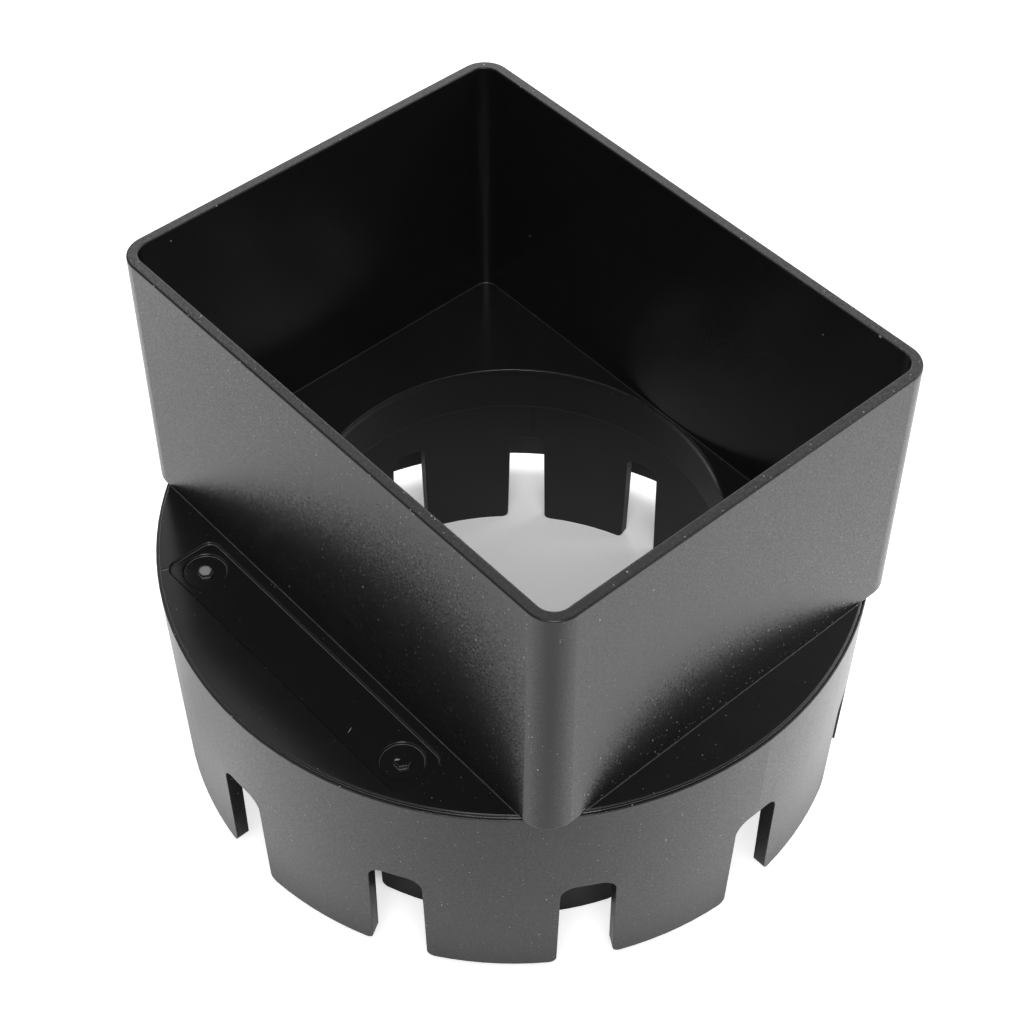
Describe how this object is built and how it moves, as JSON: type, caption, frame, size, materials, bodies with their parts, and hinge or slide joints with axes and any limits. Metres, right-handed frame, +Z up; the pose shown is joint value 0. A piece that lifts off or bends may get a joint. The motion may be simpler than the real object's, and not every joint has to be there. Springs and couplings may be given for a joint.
{
  "type": "downspout adapter",
  "caption": "One-piece black plastic adapter: a rectangular downspout socket on a round deck, with a slotted skirt and an inner slotted spigot that grip round corrugated pipe.",
  "frame": {"origin": "on the axis of the round base, level with the spigot's lower edge, which the part stands on", "axes": "+Z up through the socket's mouth, +X along the socket's long side, -Y towards the deck's recessed panel"},
  "size_m": [0.13, 0.13, 0.1061],
  "materials": {
    "moulded_plastic": "satin, finely textured"
  },
  "bodies": {
    "root": {"downspout_adapter": "moulded_plastic"}
  },
  "joints": []
}
